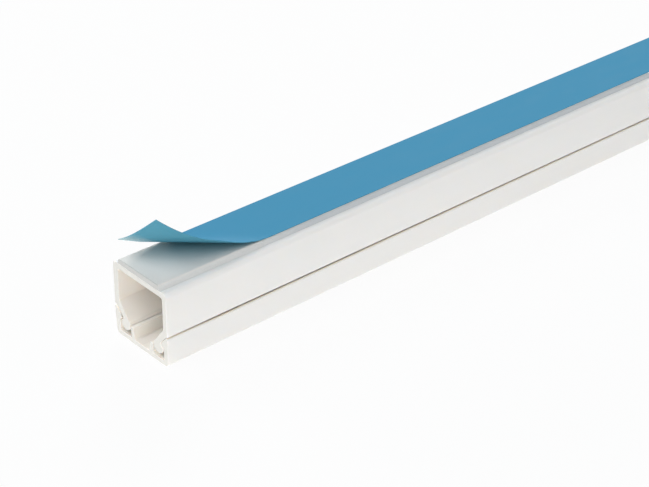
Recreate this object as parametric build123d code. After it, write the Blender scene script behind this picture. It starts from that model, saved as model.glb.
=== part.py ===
from build123d import *
import os
from math import cos, degrees, hypot, radians, sin, sqrt, tan

# Self-adhesive cord cover raceway: a base channel, the cover that snaps over its two legs,
# a strip of foam tape on the base's back, and the tape's release liner, peeled up at one corner.
# The stick lies on its cover, adhesive side up: X runs along its length, +Z points out of the back.
# The origin is the middle of the cover's front face. All sizes are in millimetres.

# Driving dimensions of the stick
length = 400.0
width = 16.0
height = 16.0                # cover's front face to the base's back, without the tape

# Driving dimensions of the cover
cover_wall = 1.0
cover_corner_radius = 1.0
flange_wall = 1.2
barb_depth = 0.6             # how far the barb at the flange's top stands inward
pocket_width = 3.6           # floor between a flange and the lip beside it
lip_wall = 0.9
lip_height = 2.2             # above the cover's floor
lip_lean = 0.2               # how far the lip's top leans towards the flange
pocket_radius = 0.3

# Driving dimensions of the base channel
base_wall = 1.15
back_corner_radius = 1.0
channel_radius = 0.4         # inside corners under the back
leg_slant = 52.0             # slope of the leg's inside face, in degrees
leg_bend_radius = 0.5
neck_height = 0.75           # upright neck between the slanted leg and its bead
shoulder = 0.25              # flat of the base above the seam

# Driving dimensions of the snap fit
snap_clearance = 0.3
bead_lift = 1.0              # room under the bead, above the cover's floor
seam_gap = 0.5               # shadow line between cover and base

# Driving dimensions of the tape and its liner
tape_width = 13.0
tape_shift = 0.15            # how far the tape lies off the middle, towards +Y
tape_thickness = 1.0
bare_strip = 0.6             # tape left uncovered along the liner's near edge
liner_width = 12.2
liner_thickness = 0.12
peel_near = 27.4             # length of liner off the tape, measured along its near edge
peel_far = 13.7              # the same along its far edge
lift_radius = 9.6            # bend where the liner leaves the tape
lift_angle = 37.4            # how steeply it leaves, in degrees
lift_run = 3.3               # straight stretch after that bend
curl_radius = 12.7           # curl of the free corner

# Places across the section, measured from the middle
half_width = width / 2
flange_inside = half_width - flange_wall
barb_tip = flange_inside - barb_depth
bead_outside = flange_inside - snap_clearance
neck_outside = barb_tip - snap_clearance
lip_outside = flange_inside - pocket_width
lip_inside = lip_outside - lip_wall
bead_inside = lip_outside + lip_lean + snap_clearance
channel_half = half_width - base_wall
shoulder_inside = half_width - shoulder

# Heights above the cover's front face
bead_radius = (bead_outside - bead_inside) / 2
bead_middle = cover_wall + bead_lift + bead_radius
hook_top = bead_middle + bead_outside - neck_outside
neck_top = hook_top + neck_height
shoulder_height = neck_top + shoulder_inside - neck_outside
flange_top = shoulder_height - seam_gap
ceiling = height - base_wall
tape_top = height + tape_thickness


def stick(half_outline):
    """Mirrors half a section about the middle of the stick and extrudes it along the full length."""
    section = make_face(half_outline + mirror(half_outline, about=Plane.YZ))
    near_end = Plane.YZ.offset(-length / 2)
    return extrude(near_end * section, amount=length)


def base_channel():
    """Channel whose walls turn inward below the seam as slanted legs, each ending in a round bead."""
    slope = radians(leg_slant)
    leg_foot = bead_outside - bead_radius * (1 + sin(slope))
    leg_top = bead_middle + bead_radius * cos(slope) + (channel_half - leg_foot) * tan(slope)
    outside = FilletPolyline(
        (0, height),
        (half_width, height),
        (half_width, shoulder_height),
        (shoulder_inside, shoulder_height),
        (neck_outside, neck_top),
        (neck_outside, hook_top),
        (bead_outside, bead_middle),
        radius=[back_corner_radius, 0, 0, 0, 0],
    )
    bead = JernArc((bead_outside, bead_middle), (0, -1), bead_radius, leg_slant - 270)
    inside = FilletPolyline(
        bead @ 1,
        (channel_half, leg_top),
        (channel_half, ceiling),
        (0, ceiling),
        radius=[leg_bend_radius, channel_radius],
    )
    return stick(Curve() + [outside, bead, inside])


def snap_cover():
    """Shallow lid: two outer flanges with barbs that hold the beads, and two lips that keep them apart."""
    barb_top = flange_top - (shoulder_inside - barb_tip)
    hook_line = bead_middle + bead_outside + snap_clearance * sqrt(2)
    lip_top = cover_wall + lip_height
    half_outline = FilletPolyline(
        (0, 0),
        (half_width, 0),
        (half_width, flange_top),
        (shoulder_inside, flange_top),
        (barb_tip, barb_top),
        (barb_tip, hook_line - barb_tip),
        (flange_inside, hook_line - flange_inside),
        (flange_inside, cover_wall),
        (lip_outside, cover_wall),
        (lip_outside + lip_lean, lip_top),
        (lip_inside + lip_lean, lip_top),
        (lip_inside, cover_wall),
        (0, cover_wall),
        radius=[cover_corner_radius, 0, 0, 0, 0, 0, pocket_radius, pocket_radius, 0, 0, pocket_radius],
    )
    return stick(Curve() + half_outline)


def foam_tape():
    """Double-sided foam strip along the base's back, flush with both ends."""
    middle_of_foot = (Align.CENTER, Align.CENTER, Align.MIN)
    return Pos(0, tape_shift, height) * Box(length, tape_width, tape_thickness, align=middle_of_foot)


# The liner lies flat up to a slanted peel line, and rolls up beyond it about axes parallel to that line.
# A point of the flat liner is given by its place along the peel line and its distance beyond it.
liner_near = tape_shift - tape_width / 2 + bare_strip
liner_far = liner_near + liner_width
near_end_x = -length / 2
far_end_x = length / 2
peel_slant = hypot(peel_near - peel_far, liner_far - liner_near)
along = Vector((peel_near - peel_far) / peel_slant, (liner_near - liner_far) / peel_slant, 0)
beyond = Vector(along.Y, -along.X, 0)
up = Vector(0, 0, 1)
peel_start = Vector(near_end_x + peel_far, liner_far, tape_top)
lift_end = lift_radius * radians(lift_angle)
curl_start = lift_end + lift_run


def peel_place(x, y):
    """Place along the peel line, and distance beyond it, of a point of the flat liner."""
    from_start = Vector(x, y, tape_top) - peel_start
    return from_start.dot(along), from_start.dot(beyond)


def rolled(distance):
    """Level travel and height of the liner's lower face at a distance beyond the peel line."""
    if distance <= 0:
        return distance, 0
    lift = min(distance, lift_end) / lift_radius
    travel = lift_radius * sin(lift)
    rise = lift_radius * (1 - cos(lift))
    run = min(max(distance - lift_end, 0), lift_run)
    travel += run * cos(lift)
    rise += run * sin(lift)
    curl = lift + max(distance - curl_start, 0) / curl_radius
    travel += curl_radius * (sin(curl) - sin(lift))
    rise += curl_radius * (cos(lift) - cos(curl))
    return travel, rise


def trim_point(place, distance):
    """Point of the rolled liner as seen at 45 degrees, where level travel and height weigh alike."""
    travel, rise = rolled(distance)
    return place, (travel + rise) / sqrt(2)


def trim_edge(start, end, bend_points=9):
    """One cut edge of the liner, between two points of the flat strip, as it runs up the roll."""
    (place_0, far_0), (place_1, far_1) = peel_place(*start), peel_place(*end)
    slope = (place_1 - place_0) / (far_1 - far_0)
    stops = [s for s in (0, lift_end, curl_start) if min(far_0, far_1) < s < max(far_0, far_1)]
    stops = sorted([far_0, far_1] + stops, reverse=far_1 < far_0)
    edges = []
    for first, last in zip(stops, stops[1:]):
        middle = (first + last) / 2
        bent = 0 < middle < lift_end or middle > curl_start
        steps = bend_points if bent else 2
        spread = [first + (last - first) * i / (steps - 1) for i in range(steps)]
        points = [trim_point(place_0 + slope * (d - far_0), d) for d in spread]
        edges.append(Spline(*points) if bent else Line(*points))
    return edges


def liner_face(lift):
    """Section line of the liner a given height above its lower face, from the flat up to the curl."""
    spare = lift_radius
    free_length = peel_place(near_end_x, liner_near)[1] + spare
    curl_angle = degrees((free_length - curl_start) / curl_radius)
    flat = Line((-length, lift), (0, lift))
    bend = JernArc(flat @ 1, (1, 0), lift_radius - lift, lift_angle)
    run = PolarLine(bend @ 1, lift_run, lift_angle)
    curl = JernArc(run @ 1, run % 1, curl_radius - lift, curl_angle)
    return Curve() + [flat, bend, run, curl]


def release_liner():
    """Thin strip, rolled up obliquely from its near corner, then trimmed to the strip's own four edges."""
    lower, upper = liner_face(0), liner_face(liner_thickness)
    ends = [Line(lower @ 0, upper @ 0), Line(lower @ 1, upper @ 1)]
    section = make_face(Curve() + [lower, upper] + ends)
    sheet = extrude(Plane(peel_start, x_dir=beyond, z_dir=-along) * section, amount=length, both=True)
    far_side = [(far_end_x, liner_far), (near_end_x, liner_far)]
    near_side = [(near_end_x, liner_near), (far_end_x, liner_near)]
    corners = far_side + near_side
    edges = [edge for a, b in zip(corners, corners[1:] + corners[:1]) for edge in trim_edge(a, b)]
    outline = make_face(Curve() + edges)
    cutter = extrude(Plane(peel_start, x_dir=along, z_dir=beyond - up) * outline, amount=length, both=True)
    return sheet & cutter


os.makedirs("parts", exist_ok=True)
for make_piece in (base_channel, snap_cover, foam_tape, release_liner):
    export_step(make_piece(), f"parts/{make_piece.__name__}.step")
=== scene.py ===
import logging
from contextlib import contextmanager
from dataclasses import dataclass, field
from enum import Enum
from math import cos, hypot, pi, radians, sin, tan
from typing import Callable, Iterator

import bpy
from mathutils import Matrix, Vector, noise


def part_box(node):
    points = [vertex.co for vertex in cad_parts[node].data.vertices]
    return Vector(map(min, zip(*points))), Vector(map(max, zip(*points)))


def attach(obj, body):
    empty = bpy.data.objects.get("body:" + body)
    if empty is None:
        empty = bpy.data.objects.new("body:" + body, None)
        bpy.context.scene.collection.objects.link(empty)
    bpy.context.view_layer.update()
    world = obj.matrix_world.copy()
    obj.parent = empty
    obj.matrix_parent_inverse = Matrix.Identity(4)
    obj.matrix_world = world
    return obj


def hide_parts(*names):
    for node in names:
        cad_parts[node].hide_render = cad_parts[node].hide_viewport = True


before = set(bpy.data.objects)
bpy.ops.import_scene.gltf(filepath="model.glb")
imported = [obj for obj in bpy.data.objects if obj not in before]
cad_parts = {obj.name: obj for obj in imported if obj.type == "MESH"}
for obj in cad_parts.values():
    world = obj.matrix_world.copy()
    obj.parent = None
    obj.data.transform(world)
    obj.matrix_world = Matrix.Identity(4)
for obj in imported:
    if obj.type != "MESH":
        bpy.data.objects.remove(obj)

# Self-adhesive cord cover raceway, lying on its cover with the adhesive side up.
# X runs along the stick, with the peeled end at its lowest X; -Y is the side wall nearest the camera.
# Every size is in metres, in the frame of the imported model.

MM = 0.001
CLOSE = 0.001 * MM
MERGE = 0.002 * MM
SMOOTH_BELOW = radians(40.0)
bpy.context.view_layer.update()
BODY = "root"

Pair = tuple[float, float]
Triple = tuple[float, float, float]
Colour = Triple

log = logging.getLogger("raceway")


class Face(Enum):
    """Which finish a face of a stick takes."""

    SKIN = 0
    SAWN = 1
    INSIDE = 2
    SEAM = 3
    LEDGE = 4


class TapeSide(Enum):
    """Which finish a face of the tape takes."""

    FILM = 0
    SLIT = 1
    SAWN = 2


class LinerSide(Enum):
    """Which finish a face of the release liner takes."""

    BLUE = 0
    RELEASE = 1
    CUT = 2


# Modelling by hand


class Bench:
    """The few steps of hand modelling that every piece is made with."""

    @staticmethod
    def clear() -> None:
        """Deselects everything in object mode."""
        bpy.ops.object.select_all(action="DESELECT")

    @staticmethod
    def take(piece: bpy.types.Object) -> None:
        """Makes a piece the active object and the only selected one.

        Args:
            piece: the object to take.
        """
        Bench.clear()
        piece.select_set(True)
        bpy.context.view_layer.objects.active = piece

    @staticmethod
    @contextmanager
    def editing(piece: bpy.types.Object, mode: str = "VERT") -> Iterator[None]:
        """Opens a piece in edit mode, and goes back to object mode at the end.

        Args:
            piece: the object to edit.
            mode: the element that the edit selects, VERT, EDGE or FACE.

        Returns:
            A context in which the piece is open.
        """
        Bench.take(piece)
        bpy.context.tool_settings.mesh_select_mode = [mode == kind for kind in ("VERT", "EDGE", "FACE")]
        bpy.ops.object.mode_set(mode="EDIT")
        yield
        bpy.ops.object.mode_set(mode="OBJECT")

    @staticmethod
    def pick_points(piece: bpy.types.Object, wanted: Callable[[Vector], bool]) -> None:
        """Selects the vertices whose place passes a test, and nothing else.

        Args:
            piece: the object, in object mode.
            wanted: the test of a vertex's place.
        """
        mesh = piece.data
        for group in (mesh.polygons, mesh.edges):
            for element in group:
                element.select = False
        for vertex in mesh.vertices:
            vertex.select = wanted(vertex.co)

    @staticmethod
    def pick_edges(piece: bpy.types.Object, wanted: Callable[[Vector, Vector], bool]) -> None:
        """Selects the edges whose two ends pass a test, and nothing else.

        Args:
            piece: the object, in object mode.
            wanted: the test of the places of an edge's two ends.
        """
        mesh = piece.data
        Bench.pick_points(piece, lambda place: False)
        for edge in mesh.edges:
            ends = [mesh.vertices[index] for index in edge.vertices]
            edge.select = wanted(ends[0].co, ends[1].co)
            if edge.select:
                for end in ends:
                    end.select = True

    @staticmethod
    def finish_with(piece: bpy.types.Object, kind: str, **settings: object) -> None:
        """Adds a modifier to a piece, sets it and applies it.

        Args:
            piece: the object to change.
            kind: the modifier's type.
            settings: the modifier's own values.
        """
        Bench.take(piece)
        modifier = piece.modifiers.new(kind.lower(), kind)
        for name, value in settings.items():
            setattr(modifier, name, value)
        bpy.ops.object.modifier_apply(modifier=modifier.name)

    @staticmethod
    def smooth(piece: bpy.types.Object) -> None:
        """Shades a piece smooth, apart from its sharp edges."""
        Bench.take(piece)
        bpy.ops.object.shade_smooth_by_angle(angle=SMOOTH_BELOW)

    @staticmethod
    def smooth_round_flats(piece: bpy.types.Object) -> None:
        """Shades a piece smooth, and keeps its large flats flat beside their eased edges."""
        Bench.smooth(piece)
        Bench.finish_with(piece, "WEIGHTED_NORMAL", mode="FACE_AREA", keep_sharp=True)


def gather_steps(piece: bpy.types.Object, near: float, far: float, share: float, length: float) -> None:
    """Slides evenly spaced cross-sections along X, so that a share of them lies close to the near end.

    Args:
        piece: the mesh, in object mode.
        near: X of the near end.
        far: X of the far end.
        share: the share of the cross-sections to gather.
        length: how far from the near end they lie then.
    """
    for vertex in piece.data.vertices:
        part = (vertex.co.x - near) / (far - near)
        if part < share:
            place = length * part / share
        else:
            place = length + (far - near - length) * (part - share) / (1.0 - share)
        vertex.co.x = near + place


def fade(distance: float, length: float) -> float:
    """Share that falls smoothly from 1 to 0 over a length."""
    return max(0.0, 1.0 - distance / length) ** 2


def drift(x: float, y: float, z: float = 0.0) -> float:
    """Smooth noise at a place, from 0 to 1."""
    return 0.5 + 0.5 * noise.noise(Vector((x, y, z)))


# Finishes


class Recipe:
    """One material's nodes, set round a Principled shader."""

    PLAIN: Triple = (1.0, 1.0, 1.0)
    LINE_DETAIL: float = 2.0
    CLOUD_DETAIL: float = 3.0
    PATTERN_LOW: float = 0.3
    PATTERN_HIGH: float = 0.7
    MIX_SHARE: int = 0
    MIX_FIRST: int = 6
    MIX_SECOND: int = 7
    MIX_RESULT: int = 2

    def __init__(self, name: str) -> None:
        """Starts a material that holds a Principled shader and nothing else.

        Args:
            name: the material's name.
        """
        self.material = bpy.data.materials.new(name)
        self.material.use_nodes = True
        self.nodes = self.material.node_tree.nodes
        self.links = self.material.node_tree.links
        self.shader = self.nodes["Principled BSDF"]

    def add(self, kind: str, inputs: dict[str | int, object], **settings: object) -> bpy.types.Node:
        """Adds a node, with each input set to a value or linked to a socket.

        Args:
            kind: the node's type.
            inputs: a value or a source socket for each named or numbered input.
            settings: the node's own values.

        Returns:
            The new node.
        """
        node = self.nodes.new(kind)
        for name, value in settings.items():
            setattr(node, name, value)
        self.fill(node, inputs)
        return node

    def fill(self, node: bpy.types.Node, inputs: dict[str | int, object]) -> None:
        """Sets or links a node's inputs.

        Args:
            node: the node.
            inputs: a value or a source socket for each named or numbered input.
        """
        for name, value in inputs.items():
            if isinstance(value, bpy.types.NodeSocket):
                self.links.new(value, node.inputs[name])
            else:
                node.inputs[name].default_value = value

    def place(self, stretch: Triple = PLAIN) -> bpy.types.NodeSocket:
        """Object coordinates, multiplied axis by axis by a stretch."""
        source = self.add("ShaderNodeTexCoord", {}).outputs["Object"]
        return self.add("ShaderNodeMapping", {"Vector": source, "Scale": stretch}).outputs["Vector"]

    def noise(self, stretch: Triple, detail: float = CLOUD_DETAIL) -> bpy.types.NodeSocket:
        """Cloudy noise, from 0 to 1, with so many cells per metre along each axis."""
        inputs = {"Vector": self.place(stretch), "Scale": 1.0, "Detail": detail}
        return self.add("ShaderNodeTexNoise", inputs).outputs["Fac"]

    def cells(self, stretch: Triple) -> bpy.types.NodeSocket:
        """Distance to the nearest cell's centre, with so many cells per metre along each axis."""
        inputs = {"Vector": self.place(stretch), "Scale": 1.0}
        return self.add("ShaderNodeTexVoronoi", inputs).outputs["Distance"]

    def spread(self, value: bpy.types.NodeSocket, low: float, high: float) -> bpy.types.NodeSocket:
        """Maps the middle of a pattern's range to the values from low to high."""
        inputs = {0: value, 1: self.PATTERN_LOW, 2: self.PATTERN_HIGH, 3: low, 4: high}
        return self.add("ShaderNodeMapRange", inputs).outputs[0]

    def ramp(self, value: bpy.types.NodeSocket, start: float, end: float) -> bpy.types.NodeSocket:
        """Share that grows evenly, from 0 at the start to 1 at the end."""
        return self.add("ShaderNodeMapRange", {0: value, 1: start, 2: end}).outputs[0]

    def distance(self, middle: Triple, stretch: Triple = PLAIN) -> bpy.types.NodeSocket:
        """Distance from a point, in object coordinates that may be stretched."""
        inputs = {0: self.place(stretch), 1: middle}
        return self.add("ShaderNodeVectorMath", inputs, operation="DISTANCE").outputs["Value"]

    def blend(self, value: bpy.types.NodeSocket, first: object, second: object) -> bpy.types.NodeSocket:
        """Mixes two colours by a pattern.

        Args:
            value: the pattern, 0 for the first colour and 1 for the second.
            first: the first colour, with its alpha, or the socket that gives it.
            second: the second colour, in the same way.

        Returns:
            The mixed colour.
        """
        node = self.add("ShaderNodeMix", {}, data_type="RGBA")
        self.fill(node, {self.MIX_SHARE: value, self.MIX_FIRST: first, self.MIX_SECOND: second})
        return node.outputs[self.MIX_RESULT]

    def tint(self, value: bpy.types.NodeSocket, first: Colour, second: Colour) -> bpy.types.NodeSocket:
        """Mixes two plain colours by a pattern, which is 0 for the first and 1 for the second."""
        return self.blend(value, (*first, 1.0), (*second, 1.0))

    def relief(self, height: bpy.types.NodeSocket, depth: float) -> bpy.types.NodeSocket:
        """Normal of a pattern that is raised to a depth in metres."""
        inputs = {"Height": height, "Strength": 1.0, "Distance": depth}
        return self.add("ShaderNodeBump", inputs).outputs["Normal"]


@dataclass(frozen=True)
class VinylSkin:
    """Extruded skin of white rigid vinyl: satin, with faint lines along the stick from the die."""

    name: str = "white_vinyl_skin"
    colour: Colour = (0.845, 0.830, 0.806)
    paler: Colour = (0.860, 0.846, 0.824)
    roughness: Pair = (0.34, 0.46)
    die_lines: float = 0.004 * MM
    depth: float = 1.0 * MM
    depth_by_colour: Colour = (1.0, 0.85, 0.70)
    depth_share: float = 0.4
    line_cells: Triple = (4.0, 1400.0, 1400.0)
    cloud_cells: Triple = (28.0, 90.0, 90.0)
    specular: float = 0.42

    def make(self) -> bpy.types.Material:
        """Builds the material.

        Returns:
            The material.
        """
        recipe = Recipe(self.name)
        lines = recipe.noise(self.line_cells, Recipe.LINE_DETAIL)
        clouds = recipe.noise(self.cloud_cells)
        recipe.fill(
            recipe.shader,
            {
                "Base Color": recipe.tint(clouds, self.colour, self.paler),
                "Roughness": recipe.spread(lines, *self.roughness),
                "Normal": recipe.relief(lines, self.die_lines),
                "Specular IOR Level": self.specular,
                "Subsurface Weight": self.depth_share,
                "Subsurface Radius": self.depth_by_colour,
                "Subsurface Scale": self.depth,
            },
        )
        return recipe.material


@dataclass(frozen=True)
class SawnVinyl:
    """Cut end of the white vinyl: rougher, with the saw's fine marks, and painted a shade darker than the
    skin.
    """

    name: str = "white_vinyl_sawn_painted_shade"
    # Painted shade: the cut ends are written darker than the skin because the lamps reach them more
    # squarely.
    colour: Colour = (0.677, 0.656, 0.610)
    paler: Colour = (0.720, 0.699, 0.653)
    roughness: Pair = (0.52, 0.68)
    saw_marks: float = 0.012 * MM
    mark_cells: Triple = (200.0, 350.0, 5200.0)
    specular: float = 0.35

    def make(self) -> bpy.types.Material:
        """Builds the material.

        Returns:
            The material.
        """
        recipe = Recipe(self.name)
        marks = recipe.noise(self.mark_cells, Recipe.LINE_DETAIL)
        recipe.fill(
            recipe.shader,
            {
                "Base Color": recipe.tint(marks, self.colour, self.paler),
                "Roughness": recipe.spread(marks, *self.roughness),
                "Normal": recipe.relief(marks, self.saw_marks),
                "Specular IOR Level": self.specular,
            },
        )
        return recipe.material


@dataclass(frozen=True)
class TackyFilm:
    """Tacky face of the tape: pale grey, with the foam's cells just showing through."""

    name: str = "tape_tacky_film"
    colour: Colour = (0.760, 0.728, 0.692)
    paler: Colour = (0.790, 0.758, 0.722)
    roughness: Pair = (0.42, 0.58)
    cell: float = 0.28 * MM
    cell_depth: float = 0.02 * MM
    cloud_cells: Triple = (160.0, 160.0, 160.0)
    specular: float = 0.25

    def make(self) -> bpy.types.Material:
        """Builds the material.

        Returns:
            The material.
        """
        recipe = Recipe(self.name)
        per_metre = 1.0 / self.cell
        cells = recipe.cells((per_metre, per_metre, per_metre))
        clouds = recipe.noise(self.cloud_cells)
        recipe.fill(
            recipe.shader,
            {
                "Base Color": recipe.tint(clouds, self.colour, self.paler),
                "Roughness": recipe.spread(clouds, *self.roughness),
                "Normal": recipe.relief(cells, self.cell_depth),
                "Specular IOR Level": self.specular,
            },
        )
        return recipe.material


@dataclass(frozen=True)
class FoamEdge:
    """Cut side of the tape: matt pale foam with open cells, painted paler where the liner is off and darker
    where the liner shades it.
    """

    name: str = "tape_foam_slit"
    colour: Colour = (0.615, 0.630, 0.645)
    paler: Colour = (0.655, 0.670, 0.685)
    # Painted light: the foam's side is written paler near the peeled end, where the liner is off, and fades
    # along X to the darker, liner-shaded colour.
    painted_bared_light: Colour = (0.750, 0.740, 0.722)
    painted_light_fade: Pair = (-178.0 * MM, -164.0 * MM)
    roughness: float = 0.8
    cell: float = 0.16 * MM
    cell_depth: float = 0.05 * MM
    depth: float = 0.8 * MM
    depth_share: float = 0.2
    specular: float = 0.2

    def make(self) -> bpy.types.Material:
        """Builds the material.

        Returns:
            The material.
        """
        recipe = Recipe(self.name)
        per_metre = 1.0 / self.cell
        cells = recipe.cells((per_metre, per_metre, per_metre))
        along = recipe.add("ShaderNodeSeparateXYZ", {0: recipe.place()}).outputs["X"]
        # Painted light and shade: the colour fades from the paler bared foam to the darker foam that the
        # liner shades.
        liner_shade_share = recipe.ramp(along, *self.painted_light_fade)
        foam = recipe.tint(cells, self.colour, self.paler)
        recipe.fill(
            recipe.shader,
            {
                "Base Color": recipe.blend(liner_shade_share, (*self.painted_bared_light, 1.0), foam),
                "Roughness": self.roughness,
                "Normal": recipe.relief(cells, self.cell_depth),
                "Specular IOR Level": self.specular,
                "Subsurface Weight": self.depth_share,
                "Subsurface Radius": Recipe.PLAIN,
                "Subsurface Scale": self.depth,
            },
        )
        return recipe.material


@dataclass(frozen=True)
class LinerFilm:
    """One face of the blue release liner: smooth film with a faint mottle, and a painted pale highlight at
    its free tip.
    """

    name: str
    colour: Colour
    paler: Colour
    roughness: Pair = (0.48, 0.60)
    sheen: float = 0.15
    mottle: float = 0.004 * MM
    # Painted highlight: a pale colour round the liner's free tip, for the sheen that the tip catches.
    painted_tip_highlight: Colour = (0.360, 0.530, 0.540)
    painted_highlight_middle: Triple = (-199.3 * MM, 7.2 * MM, 20.7 * MM)
    painted_highlight_reach: float = 6.0 * MM
    cloud_cells: Triple = (120.0, 300.0, 300.0)
    grain_cells: Triple = (2200.0, 2200.0, 2200.0)

    def make(self) -> bpy.types.Material:
        """Builds the material.

        Returns:
            The material.
        """
        recipe = Recipe(self.name)
        clouds = recipe.noise(self.cloud_cells)
        grain = recipe.noise(self.grain_cells, Recipe.LINE_DETAIL)
        # Painted highlight: the colour pales towards the free tip.
        beyond_highlight = recipe.ramp(recipe.distance(self.painted_highlight_middle), 0.0, self.painted_highlight_reach)
        film = recipe.tint(clouds, self.colour, self.paler)
        recipe.fill(
            recipe.shader,
            {
                "Base Color": recipe.blend(beyond_highlight, (*self.painted_tip_highlight, 1.0), film),
                "Roughness": recipe.spread(clouds, *self.roughness),
                "Normal": recipe.relief(grain, self.mottle),
                "Specular IOR Level": self.sheen,
            },
        )
        return recipe.material


# Sub-assemblies


@dataclass(frozen=True)
class Turn:
    """One corner of a section's outline, with the radius that rounds it; 0 leaves it sharp."""

    y: float
    z: float
    radius: float = 0.08 * MM


@dataclass
class Stick:
    """A straight extrusion with a symmetrical section, sawn off square at both ends."""

    name: str
    end_ease: float = 0.05 * MM
    ease_segments: int = 2
    length_steps: int = 80
    fine_steps: int = 24
    fine_length: float = 24.0 * MM
    arc_step: float = 0.14 * MM
    fewest_steps: int = 2
    inside_half: float = 6.9 * MM
    inside_heights: Pair = (0.9 * MM, 14.9 * MM)
    seam_heights: Pair = (5.0 * MM, 7.0 * MM)
    square_on: float = 0.99
    ledge_slope: float = 0.3
    seam_slope: float = 0.6
    skin: VinylSkin = field(default_factory=VinylSkin)
    sawn: SawnVinyl = field(default_factory=SawnVinyl)
    # Painted light: the channel's inside is written paler and warmer than the skin, for the warm light that
    # bounces round inside it.
    inside: VinylSkin = VinylSkin("vinyl_inside_painted_warm_light", (0.905, 0.858, 0.798), (0.915, 0.872, 0.812))
    # Painted light and shade: the far, up-facing faces inside are written warm like the rest of the inside,
    # and darker than it as painted shade.
    ledge: VinylSkin = VinylSkin("vinyl_ledge_painted_shade", (0.845, 0.800, 0.742), (0.858, 0.813, 0.755))
    # Painted shade: the faces in the seam's groove are written warm and yellowed, so that the shade in the
    # groove looks brown.
    seam: VinylSkin = VinylSkin("vinyl_seam_painted_warm_shade", (0.880, 0.810, 0.710), (0.890, 0.820, 0.725))

    def half_outline(self) -> list[Turn]:
        """Corners of the section's half at positive Y, from the middle and back to it."""
        raise NotImplementedError

    def trace(self) -> bpy.types.Object:
        """Draws the half outline as a wire, point to point, at the stick's near end.

        Returns:
            The wire, with its corners still sharp.
        """
        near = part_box(self.name)[0].x
        turns = self.half_outline()
        Bench.clear()
        bpy.ops.mesh.primitive_plane_add(size=MM, location=(near, turns[0].y, turns[0].z))
        piece = bpy.context.object
        piece.name = piece.data.name = f"{self.name}_stick"
        bpy.ops.object.transform_apply(location=True, rotation=True, scale=True)
        with Bench.editing(piece):
            bpy.ops.mesh.select_all(action="SELECT")
            bpy.ops.mesh.merge(type="CENTER")
            for last, turn in zip(turns, turns[1:]):
                step = (0.0, turn.y - last.y, turn.z - last.z)
                bpy.ops.mesh.extrude_region_move(TRANSFORM_OT_translate={"value": step})
        return piece

    def round_corners(self, piece: bpy.types.Object) -> None:
        """Rounds each corner of the wire by a vertex bevel, whose offset follows from the radius.

        Args:
            piece: the wire.
        """
        turns = self.half_outline()
        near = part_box(self.name)[0].x
        for before, turn, after in zip(turns, turns[1:], turns[2:]):
            if not turn.radius:
                continue
            corner = Vector((turn.y, turn.z))
            inward = corner - Vector((before.y, before.z))
            outward = Vector((after.y, after.z)) - corner
            angle = inward.angle(outward)
            place = Vector((near, turn.y, turn.z))
            Bench.pick_points(piece, lambda co: (co - place).length < CLOSE)
            steps = max(self.fewest_steps, round(turn.radius / self.arc_step * angle))
            with Bench.editing(piece):
                bpy.ops.mesh.bevel(
                    offset=turn.radius * tan(angle / 2), offset_type="OFFSET", segments=steps,
                    affect="VERTICES", clamp_overlap=False,
                )

    def run_out(self, piece: bpy.types.Object) -> None:
        """Mirrors the wire, fills the section and extrudes it to the far end.

        Args:
            piece: the wire of the half section.
        """
        near, far = (corner.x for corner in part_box(self.name))
        Bench.finish_with(piece, "MIRROR", use_axis=(False, True, False), merge_threshold=MERGE)
        with Bench.editing(piece):
            bpy.ops.mesh.select_all(action="SELECT")
            bpy.ops.mesh.remove_doubles(threshold=MERGE)
            bpy.ops.mesh.edge_face_add()
            bpy.ops.mesh.extrude_region_move(TRANSFORM_OT_translate={"value": (far - near, 0.0, 0.0)})
            bpy.ops.mesh.select_all(action="SELECT")
            bpy.ops.mesh.normals_make_consistent(inside=False)
        Bench.pick_edges(piece, lambda a, b: abs(a.x - b.x) > (far - near) / 2)
        with Bench.editing(piece, "EDGE"):
            bpy.ops.mesh.subdivide(number_cuts=self.length_steps)
        share = self.fine_steps / (self.length_steps + 1)
        gather_steps(piece, near, far, share, self.fine_length)

    def settle(self, piece: bpy.types.Object) -> None:
        """Leaves the stick straight; a stick that the cut has sprung says how here."""

    def ease_ends(self, piece: bpy.types.Object) -> None:
        """Takes the sharp arris off both sawn ends.

        Args:
            piece: the extruded stick.
        """
        for end in [corner.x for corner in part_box(self.name)]:
            Bench.pick_edges(piece, lambda a, b: abs(a.x - end) < CLOSE and abs(b.x - end) < CLOSE)
            with Bench.editing(piece, "EDGE"):
                bpy.ops.mesh.bevel(
                    offset=self.end_ease, offset_type="OFFSET", segments=self.ease_segments, affect="EDGES",
                )

    def dress(self, piece: bpy.types.Object) -> None:
        """Gives each face the finish of its place, and the stick a clean shading.

        Args:
            piece: the finished stick.
        """
        for finish in (self.skin, self.sawn, self.inside, self.seam, self.ledge):
            made = bpy.data.materials.get(finish.name) or finish.make()
            piece.data.materials.append(made)
        low, high = self.inside_heights
        seam_low, seam_high = self.seam_heights
        for polygon in piece.data.polygons:
            place, normal = polygon.center, polygon.normal
            face = Face.SKIN
            # Square-on faces are the sawn ends, which carry the painted shade of the sawn finish.
            if abs(normal.x) > self.square_on:
                face = Face.SAWN
            # Faces inside the channel take the painted warm light of the inside finish.
            elif abs(place.y) < self.inside_half and low < place.z < high:
                # Up-facing faces on the far side of the inside take painted shade: they are written darker
                # than the rest of the inside.
                far_ledge = normal.z > self.ledge_slope and place.y > 0.0
                face = Face.LEDGE if far_ledge else Face.INSIDE
            # The level faces in the seam's groove take the painted warm shade.
            elif abs(normal.z) > self.seam_slope and seam_low < place.z < seam_high:
                face = Face.SEAM
            polygon.material_index = face.value
        Bench.smooth_round_flats(piece)

    def build(self) -> bpy.types.Object:
        """Models the stick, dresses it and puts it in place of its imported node.

        Returns:
            The finished piece.
        """
        piece = self.trace()
        self.round_corners(piece)
        self.run_out(piece)
        self.ease_ends(piece)
        self.settle(piece)
        self.dress(piece)
        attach(piece, BODY)
        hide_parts(self.name)
        return piece


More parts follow.
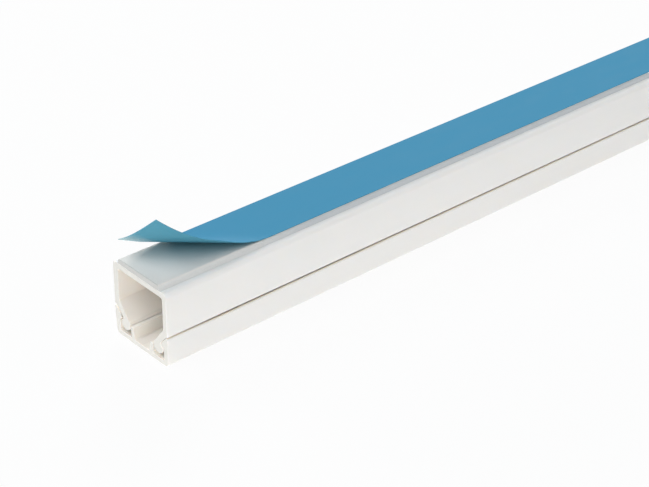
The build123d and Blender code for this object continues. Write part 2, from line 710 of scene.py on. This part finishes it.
@dataclass
class BaseChannel(Stick):
    """The channel that sticks to the wall; its walls turn inward as slanted legs with round beads."""

    name: str = "base_channel"
    wall: float = 1.15 * MM
    back_radius: float = 1.0 * MM
    channel_radius: float = 0.4 * MM
    leg_slant: float = radians(52.0)
    leg_radius: float = 0.5 * MM
    seam_radius: float = 0.34 * MM
    seam_flat: float = 0.45 * MM
    shoulder: float = 0.33 * MM
    neck_inset: float = 2.1 * MM
    neck_height: float = 0.75 * MM
    bead_overhang: float = 0.6 * MM
    bead_radius: float = 1.4 * MM
    bead_bottom: float = 2.0 * MM
    flare_length: float = 14.0 * MM
    flare_out: float = 0.27 * MM
    flare_up: float = 0.22 * MM
    flare_focus: int = 4

    def half_outline(self) -> list[Turn]:
        """Corners of the section's half at positive Y, from the back's middle to the channel's ceiling.

        The bead's lower side turns in two equal arcs, since a bevel rounds 90 degrees at most.

        Returns:
            The corners, in order.
        """
        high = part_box(self.name)[1]
        half, back = high.y, high.z
        neck = half - self.neck_inset
        bead_outside = neck + self.bead_overhang
        bead_middle = self.bead_bottom + self.bead_radius
        hook_top = bead_middle + self.bead_overhang
        neck_top = hook_top + self.neck_height
        shoulder_height = neck_top + half - self.shoulder - neck
        channel = half - self.wall
        ceiling = back - self.wall
        middle = Vector((bead_outside - self.bead_radius, bead_middle))
        half_turn = (pi - self.leg_slant) / 2
        reach = self.bead_radius / cos(half_turn / 2)
        under, inside = (
            middle + reach * Vector((-sin(turn), -cos(turn)))
            for turn in (half_turn / 2, 1.5 * half_turn)
        )
        foot = middle + self.bead_radius * Vector((-sin(self.leg_slant), cos(self.leg_slant)))
        leg_top = foot.y + (channel - foot.x) * tan(self.leg_slant)
        return [
            Turn(0.0, back),
            Turn(half, back, self.back_radius),
            Turn(half, shoulder_height, self.seam_radius),
            Turn(half - self.seam_flat, shoulder_height),
            Turn(neck, neck_top),
            Turn(neck, hook_top),
            Turn(bead_outside, bead_middle, 0.0),
            Turn(bead_outside, self.bead_bottom, self.bead_radius),
            Turn(*under, self.bead_radius),
            Turn(*inside, self.bead_radius),
            Turn(channel, leg_top, self.leg_radius),
            Turn(channel, ceiling, self.channel_radius),
            Turn(0.0, ceiling),
        ]

    def settle(self, piece: bpy.types.Object) -> None:
        """Flares the far back corner at the near end, where the saw left the stick.

        Args:
            piece: the extruded base.
        """
        low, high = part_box(self.name)
        channel = high.y - self.wall
        ceiling = high.z - self.wall
        for vertex in piece.data.vertices:
            place = vertex.co
            ease = fade(place.x - low.x, self.flare_length)
            if place.y > channel + self.wall / 2:
                place.y += self.flare_out * ease
            if place.z > ceiling + self.wall / 2 and place.y > 0.0:
                place.z += self.flare_up * ease * (place.y / high.y) ** self.flare_focus


@dataclass
class SnapCover(Stick):
    """The lid that closes the channel: outer flanges with barbs, and lips that keep the beads apart."""

    name: str = "snap_cover"
    wall: float = 1.0 * MM
    corner_radius: float = 1.0 * MM
    flange_wall: float = 1.2 * MM
    rim: float = 0.45 * MM
    rim_radius: float = 0.34 * MM
    rim_lift: float = 0.02 * MM
    barb_depth: float = 0.6 * MM
    barb_height: float = 4.65 * MM
    hook_height: float = 3.52 * MM
    pocket_width: float = 3.6 * MM
    pocket_radius: float = 0.3 * MM
    lip_wall: float = 0.9 * MM
    lip_height: float = 2.2 * MM
    lip_lean: float = 0.2 * MM
    lip_rest: float = 0.29 * MM
    lip_rise: float = 0.20 * MM
    lip_foot: float = 0.5 * MM
    sprung_length: float = 16.0 * MM
    sprung_out: float = 0.42 * MM
    closed_up: float = 0.24 * MM
    close_rate: float = 2.0
    narrowing: float = 0.05 * MM
    narrowing_from: float = 25.0 * MM
    narrowing_length: float = 75.0 * MM

    def half_outline(self) -> list[Turn]:
        """Corners of the section's half at positive Y, from the face's middle to the floor's middle.

        Returns:
            The corners, in order.
        """
        low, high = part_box(self.name)
        half, top, face = high.y, high.z + self.rim_lift, low.z
        flange = half - self.flange_wall
        barb = flange - self.barb_depth
        lip_outside = flange - self.pocket_width
        lip_inside = lip_outside - self.lip_wall
        floor = face + self.wall
        lip_top = floor + self.lip_height
        return [
            Turn(0.0, face),
            Turn(half, face, self.corner_radius),
            Turn(half, top, self.rim_radius),
            Turn(half - self.rim, top),
            Turn(barb, face + self.barb_height),
            Turn(barb, face + self.hook_height + self.barb_depth),
            Turn(flange, face + self.hook_height),
            Turn(flange, floor, self.pocket_radius),
            Turn(lip_outside, floor, self.pocket_radius),
            Turn(lip_outside + self.lip_lean, lip_top),
            Turn(lip_inside + self.lip_lean, lip_top),
            Turn(lip_inside, floor, self.pocket_radius),
            Turn(0.0, floor),
        ]

    def settle(self, piece: bpy.types.Object) -> None:
        """Springs the far flange out and closes the near one up at the near end.

        The seam also narrows a little along the stick, and the far lip stands taller and leans on its bead.

        Args:
            piece: the extruded cover.
        """
        low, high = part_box(self.name)
        flange = high.y - self.flange_wall - self.barb_depth
        lip_inside = high.y - self.flange_wall - self.pocket_width - self.lip_wall
        for vertex in piece.data.vertices:
            place = vertex.co
            ease = fade(place.x - low.x, self.sprung_length)
            rise = max(0.0, (place.z - low.z - self.wall) / (high.z - low.z - self.wall))
            along = (place.x - low.x - self.narrowing_from) / self.narrowing_length
            narrowing = self.narrowing * min(1.0, max(0.0, along))
            if place.y > flange:
                place.y += self.sprung_out * ease * rise**2
            elif place.y < -flange:
                place.z += (self.closed_up * ease + narrowing) * min(1.0, self.close_rate * rise**2)
            elif place.y > lip_inside - self.lip_foot:
                up_the_lip = max(0.0, place.z - low.z - self.wall) / self.lip_height
                place.y += self.lip_rest * up_the_lip
                place.z += self.lip_rise * up_the_lip


@dataclass
class FoamTape:
    """The double-sided foam strip along the base's back."""

    name: str = "foam_tape"
    edge_ease: float = 0.20 * MM
    ease_segments: int = 3
    near_slope: float = 0.80 * MM
    far_slope: float = 0.05 * MM
    length_steps: int = 260
    edge_wander: float = 0.05 * MM
    wander_length: float = 14.0 * MM
    end_wander: float = 0.10 * MM
    end_rows: int = 40
    rim_share: float = 0.9
    edge_seed: float = 5.0
    end_seed: float = 3.0
    sawn_slope: float = 0.2
    film_slope: float = 0.7
    film: TackyFilm = field(default_factory=TackyFilm)
    slit: FoamEdge = field(default_factory=FoamEdge)
    # Painted shade: the tape's cut ends are written darker than its sides and top because the lamps reach
    # them more squarely.
    sawn: FoamEdge = FoamEdge(
        "tape_foam_sawn_painted_shade", (0.545, 0.534, 0.510), (0.585, 0.574, 0.550), (0.565, 0.554, 0.530),
    )

    def shape(self) -> bpy.types.Object:
        """Models the strip from a block: eased edges, a sloping near side, and many cross-sections.

        Returns:
            The strip, with straight edges.
        """
        low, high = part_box(self.name)
        size = high - low
        Bench.clear()
        bpy.ops.mesh.primitive_cube_add(size=1.0, location=(low + high) / 2, scale=size)
        piece = bpy.context.object
        piece.name = piece.data.name = "foam_tape_strip"
        bpy.ops.object.transform_apply(location=True, rotation=True, scale=True)
        middle = (low + high) / 2
        for vertex in piece.data.vertices:
            if vertex.co.z > middle.z:
                vertex.co.y += -self.far_slope if vertex.co.y > middle.y else self.near_slope
        Bench.pick_edges(piece, lambda a, b: a.z > middle.z and b.z > middle.z)
        with Bench.editing(piece, "EDGE"):
            bpy.ops.mesh.bevel(
                offset=self.edge_ease, offset_type="OFFSET", segments=self.ease_segments, affect="EDGES",
            )
        Bench.pick_edges(piece, lambda a, b: abs(a.y - b.y) > size.y / 2)
        with Bench.editing(piece, "EDGE"):
            bpy.ops.mesh.subdivide(number_cuts=self.end_rows)
        Bench.pick_edges(piece, lambda a, b: abs(a.x - b.x) > size.x / 2)
        with Bench.editing(piece, "EDGE"):
            bpy.ops.mesh.subdivide(number_cuts=self.length_steps)
        return piece

    def wander(self, piece: bpy.types.Object) -> None:
        """Lets the long edges and the cut ends wander a little, always inward.

        Args:
            piece: the strip, with straight edges.
        """
        low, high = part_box(self.name)
        middle = (low + high) / 2
        for vertex in piece.data.vertices:
            side = 1.0 if vertex.co.y > middle.y else -1.0
            along = drift(vertex.co.x / self.wander_length, side * self.edge_seed)
            across = drift(vertex.co.y / MM, vertex.co.x / MM, self.end_seed)
            if abs(vertex.co.y - middle.y) > (high.y - middle.y) * self.rim_share:
                vertex.co.y -= side * self.edge_wander * along
            for end, inward in ((low.x, 1.0), (high.x, -1.0)):
                if abs(vertex.co.x - end) < 2 * self.edge_ease:
                    vertex.co.x += inward * self.end_wander * across

    def dress(self, piece: bpy.types.Object) -> None:
        """Gives the top its tacky film, and the slit sides and sawn ends their bare foam.

        Args:
            piece: the finished strip.
        """
        for finish in (self.film, self.slit, self.sawn):
            piece.data.materials.append(finish.make())
        for polygon in piece.data.polygons:
            side = TapeSide.SLIT
            # Faces turned along the stick are the sawn ends, with their painted shade.
            if abs(polygon.normal.x) > self.sawn_slope:
                side = TapeSide.SAWN
            elif polygon.normal.z > self.film_slope:
                side = TapeSide.FILM
            polygon.material_index = side.value
        Bench.smooth_round_flats(piece)

    def build(self) -> bpy.types.Object:
        """Models the strip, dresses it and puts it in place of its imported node.

        Returns:
            The finished piece.
        """
        piece = self.shape()
        self.wander(piece)
        self.dress(piece)
        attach(piece, BODY)
        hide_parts(self.name)
        return piece


@dataclass
class ReleaseLiner:
    """The blue liner: flat on the tape up to a slanted peel line, and rolled up beyond it."""

    name: str = "release_liner"
    tape: str = "foam_tape"
    width: float = 12.2 * MM
    length: float = 400.0 * MM
    thickness: float = 0.12 * MM
    bare_strip: float = 0.6 * MM
    end_bow: float = 0.32 * MM
    end_skew: float = 0.06 * MM
    near_trim: float = 0.30 * MM
    peel_near: float = 27.4 * MM
    peel_far: float = 13.7 * MM
    lift_radius: float = 9.6 * MM
    lift_angle: float = radians(37.4)
    lift_run: float = 3.3 * MM
    curl_radius: float = 12.7 * MM
    bow_length: float = 20.0 * MM
    fine_length: float = 48.0 * MM
    fine_columns: int = 120
    coarse_columns: int = 120
    rows: int = 30
    edge_wander: float = 0.10 * MM
    wander_length: float = 45.0 * MM
    edge_seed: float = 7.0
    edge_power: int = 8
    trim_rate: float = 2.0
    face: LinerFilm = LinerFilm("liner_blue_face", (0.065, 0.288, 0.462), (0.078, 0.306, 0.486))
    back: LinerFilm = LinerFilm(
        "liner_release_side", (0.066, 0.305, 0.421), (0.075, 0.317, 0.437), (0.40, 0.48), 0.45,
    )
    cut: LinerFilm = LinerFilm("liner_cut_edge", (0.075, 0.300, 0.440), (0.090, 0.320, 0.465))

    def rolled(self, distance: float) -> Pair:
        """Level travel and height of the liner's lower face at a distance beyond the peel line.

        Args:
            distance: how far the point of the flat strip lies beyond the peel line.

        Returns:
            The travel and the height.
        """
        if distance <= 0.0:
            return distance, 0.0
        lift_end = self.lift_radius * self.lift_angle
        lift = min(distance, lift_end) / self.lift_radius
        run = min(max(distance - lift_end, 0.0), self.lift_run)
        curl = lift + max(distance - lift_end - self.lift_run, 0.0) / self.curl_radius
        travel = self.lift_radius * sin(lift) + run * cos(lift)
        height = self.lift_radius * (1.0 - cos(lift)) + run * sin(lift)
        travel += self.curl_radius * (sin(curl) - sin(lift))
        height += self.curl_radius * (cos(lift) - cos(curl))
        return travel, height

    def roll_up(self, piece: bpy.types.Object) -> None:
        """Moves every point of the flat strip to its place on the roll.

        Args:
            piece: the flat strip, lying on the tape.
        """
        near, near_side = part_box(self.tape)[0].xy
        far_side = near_side + self.bare_strip + self.width
        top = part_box(self.tape)[1].z
        slant = hypot(self.peel_near - self.peel_far, self.width)
        along = Vector(((self.peel_near - self.peel_far) / slant, -self.width / slant, 0.0))
        beyond = Vector((along.y, -along.x, 0.0))
        start = Vector((near + self.peel_far, far_side, top))
        for vertex in piece.data.vertices:
            offset = vertex.co - start
            travel, height = self.rolled(offset.dot(beyond))
            vertex.co = start + along * offset.dot(along) + beyond * travel + Vector((0.0, 0.0, height))

    def middle(self) -> Vector:
        """Middle of the flat strip, on the tape's top."""
        low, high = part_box(self.tape)
        return Vector((0.0, low.y + self.bare_strip + self.width / 2, high.z))

    def lay_flat(self) -> bpy.types.Object:
        """Lays the flat strip on the tape, with fine columns where it will roll.

        Returns:
            The flat strip, with straight edges.
        """
        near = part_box(self.tape)[0].x
        columns = self.fine_columns + self.coarse_columns
        Bench.clear()
        bpy.ops.mesh.primitive_grid_add(
            x_subdivisions=columns, y_subdivisions=self.rows, size=1.0, location=self.middle(),
        )
        piece = bpy.context.object
        piece.name = piece.data.name = "release_liner_strip"
        piece.scale = (self.length, self.width, 1.0)
        bpy.ops.object.transform_apply(location=True, rotation=True, scale=True)
        gather_steps(piece, near, near + self.length, self.fine_columns / columns, self.fine_length)
        return piece

    def trim_edges(self, piece: bpy.types.Object) -> None:
        """Lets the long edges wander, bows the near end, and draws in the near edge where it is peeled.

        Args:
            piece: the flat strip, with straight edges.
        """
        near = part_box(self.tape)[0].x
        middle = self.middle()
        for vertex in piece.data.vertices:
            place = vertex.co.x - near
            across = (vertex.co.y - middle.y) / (self.width / 2)
            side = 1.0 if across > 0.0 else -1.0
            wander = drift(place / self.wander_length, side * self.edge_seed)
            vertex.co.y -= side * self.edge_wander * abs(across) ** self.edge_power * wander
            bow = self.end_bow * (1.0 - across**2) + self.end_skew * (1.0 - across)
            ease = max(0.0, 1.0 - place / self.bow_length)
            vertex.co.x -= bow * ease
            vertex.co.y += self.near_trim * min(1.0, self.trim_rate * ease) * (1.0 - across) / 2

    def dress(self, piece: bpy.types.Object) -> None:
        """Gives the rolled liner the finishes of its blue face, its release side and its cut edge."""
        for finish in (self.face, self.back, self.cut):
            piece.data.materials.append(finish.make())

    def build(self) -> bpy.types.Object:
        """Models the liner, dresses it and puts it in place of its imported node.

        Returns:
            The finished piece.
        """
        piece = self.lay_flat()
        self.trim_edges(piece)
        self.roll_up(piece)
        self.dress(piece)
        Bench.finish_with(
            piece, "SOLIDIFY", thickness=self.thickness, offset=1.0, use_even_offset=True,
            material_offset=LinerSide.RELEASE.value, material_offset_rim=LinerSide.CUT.value,
        )
        Bench.smooth(piece)
        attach(piece, BODY)
        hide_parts(self.name)
        return piece


# Studio


@dataclass(frozen=True)
class SoftLamp:
    """One soft lamp of the studio."""

    name: str
    place: Triple
    size: Pair
    power: float
    colour: Colour


@dataclass
class Studio:
    """A white light table under soft lamps, and the camera.

    The front lamp is a low strip, level with the channel, which lights its inside and the near wall.
    """

    floor_size: float = 8.0
    floor_drop: float = 0.02 * MM
    floor_colour: Colour = (0.86, 0.86, 0.86)
    floor_roughness: float = 0.9
    white: tuple[float, float, float, float] = (1.0, 1.0, 1.0, 1.0)
    shadow_share: float = 0.08
    glow: float = 0.37
    glow_colour: Colour = (1.0, 0.975, 0.960)
    glow_middle: Pair = (-0.16, -0.01)
    glow_reach: float = 0.40
    glow_narrowing: float = 4.2
    dome: float = 0.05
    dome_colour: Colour = (0.96, 0.99, 1.0)
    peeled_end: Triple = (-0.19, 0.0, 0.01)
    overhead: SoftLamp = SoftLamp(
        "overhead_lamp", (-0.93, 0.1, 1.31), (1.25, 1.25), 18.5, (0.925, 0.968, 1.0),
    )
    front: SoftLamp = SoftLamp("front_lamp", (-0.62, -0.5, 0.0085), (0.7, 0.015), 1.62, (1.0, 0.99, 0.98))
    left: SoftLamp = SoftLamp("left_lamp", (-0.50, 1.25, 0.24), (0.6, 0.2), 6.5, (0.98, 0.98, 0.96))
    right: SoftLamp = SoftLamp("right_lamp", (0.6, -1.0, 0.55), (1.0, 0.6), 4.4, (0.98, 0.99, 1.0))
    back: SoftLamp = SoftLamp("back_lamp", (0.58, 0.77, 0.72), (0.5, 0.4), 5.5, (0.98, 0.99, 1.0))
    eye: Vector = field(default_factory=lambda: Vector((-357.3167, -224.3171, 187.0002)) * MM)
    forward: Vector = field(default_factory=lambda: Vector((0.57598641, 0.63543116, -0.51426344)))
    up: Vector = field(default_factory=lambda: Vector((0.33459936, 0.39072347, 0.85754209)))
    sensor: float = 36.0
    focal_pixels: float = 1742.2007
    frame_pixels: float = 649.0
    near_clip: float = 0.01
    far_clip: float = 50.0

    def white_for_eyes(self, tree: bpy.types.NodeTree) -> bpy.types.NodeSocket:
        """1 for camera, glossy and transmission rays, and 0 for the rest.

        Args:
            tree: the node tree of a material or the world.

        Returns:
            The socket that says so.
        """
        path = tree.nodes.new("ShaderNodeLightPath")
        last = path.outputs["Is Camera Ray"]
        for name in ("Is Glossy Ray", "Is Transmission Ray"):
            either = tree.nodes.new("ShaderNodeMath")
            either.operation = "MAXIMUM"
            tree.links.new(last, either.inputs[0])
            tree.links.new(path.outputs[name], either.inputs[1])
            last = either.outputs[0]
        return last

    def light_dome(self) -> None:
        """Makes the world: a dim even dome that shows as white."""
        world = bpy.data.worlds.new("studio_dome")
        bpy.context.scene.world = world
        world.use_nodes = True
        tree = world.node_tree
        sky = tree.nodes["Background"]
        sky.inputs["Color"].default_value = (*self.dome_colour, 1.0)
        sky.inputs["Strength"].default_value = self.dome
        white = tree.nodes.new("ShaderNodeBackground")
        mix = tree.nodes.new("ShaderNodeMixShader")
        tree.links.new(self.white_for_eyes(tree), mix.inputs[0])
        tree.links.new(sky.outputs[0], mix.inputs[1])
        tree.links.new(white.outputs[0], mix.inputs[2])
        white.inputs["Color"].default_value = self.white
        tree.links.new(mix.outputs[0], tree.nodes["World Output"].inputs["Surface"])

    def lay_floor(self) -> None:
        """Lays the light table: it glows softly round the stick, and shows as white with a faint shadow."""
        Bench.clear()
        bpy.ops.mesh.primitive_plane_add(size=self.floor_size, location=(0.0, 0.0, -self.floor_drop))
        floor = bpy.context.object
        floor.name = "studio_floor"
        recipe = Recipe("studio_floor_white")
        recipe.fill(
            recipe.shader,
            {
                "Base Color": (*self.floor_colour, 1.0),
                "Roughness": self.floor_roughness,
                "Specular IOR Level": 0.0,
            },
        )
        middle = (self.glow_middle[0], self.glow_middle[1] * self.glow_narrowing, 0.0)
        distance = recipe.distance(middle, (1.0, self.glow_narrowing, 0.0))
        strength = recipe.add(
            "ShaderNodeMapRange",
            {0: distance, 1: 0.0, 2: self.glow_reach, 3: self.glow, 4: 0.0},
            interpolation_type="SMOOTHSTEP",
        ).outputs[0]
        glow = recipe.add("ShaderNodeEmission", {"Color": (*self.glow_colour, 1.0), "Strength": strength})
        table = recipe.add("ShaderNodeAddShader", {0: recipe.shader.outputs[0], 1: glow.outputs[0]})
        white = recipe.add("ShaderNodeEmission", {"Color": self.white, "Strength": 1.0})
        seen = recipe.add(
            "ShaderNodeMixShader",
            {0: 1.0 - self.shadow_share, 1: recipe.shader.outputs[0], 2: white.outputs[0]},
        )
        mix = recipe.add(
            "ShaderNodeMixShader",
            {
                0: self.white_for_eyes(recipe.material.node_tree),
                1: table.outputs[0],
                2: seen.outputs[0],
            },
        )
        recipe.links.new(mix.outputs[0], recipe.nodes["Material Output"].inputs["Surface"])
        floor.data.materials.append(recipe.material)

    def hang_lamp(self, lamp: SoftLamp) -> None:
        """Hangs one soft lamp, aimed at the peeled end.

        Args:
            lamp: the lamp to hang.
        """
        light = bpy.data.lights.new(lamp.name, "AREA")
        light.shape = "RECTANGLE"
        light.size, light.size_y = lamp.size
        light.energy = lamp.power
        light.color = lamp.colour
        holder = bpy.data.objects.new(lamp.name, light)
        bpy.context.scene.collection.objects.link(holder)
        holder.location = lamp.place
        aim = Vector(self.peeled_end) - holder.location
        holder.rotation_euler = aim.to_track_quat("-Z", "Y").to_euler()
        holder.visible_camera = False
        holder.visible_glossy = False

    def set_camera(self) -> None:
        """Puts the camera where the photograph was taken from."""
        lens = bpy.data.cameras.new("photo_camera")
        lens.sensor_width = self.sensor
        lens.lens = self.focal_pixels * self.sensor / self.frame_pixels
        lens.clip_start = self.near_clip
        lens.clip_end = self.far_clip
        holder = bpy.data.objects.new("photo_camera", lens)
        bpy.context.scene.collection.objects.link(holder)
        back = -self.forward.normalized()
        right = self.up.cross(back).normalized()
        turn = Matrix((right, back.cross(right), back)).transposed()
        holder.matrix_world = Matrix.Translation(self.eye) @ turn.to_4x4()
        bpy.context.scene.camera = holder

    def build(self) -> None:
        """Sets up the whole studio."""
        bpy.context.scene.view_settings.view_transform = "Standard"
        self.light_dome()
        self.lay_floor()
        for lamp in (self.overhead, self.front, self.left, self.right, self.back):
            self.hang_lamp(lamp)
        self.set_camera()


def main() -> None:
    """Builds the four pieces and the studio."""
    logging.basicConfig(level=logging.INFO, format="%(name)s: %(message)s")
    for assembly in (BaseChannel(), SnapCover(), FoamTape(), ReleaseLiner()):
        piece = assembly.build()
        log.info("%s stands for %s, %d faces", piece.name, assembly.name, len(piece.data.polygons))
    Studio().build()


if __name__ == "__main__":
    main()
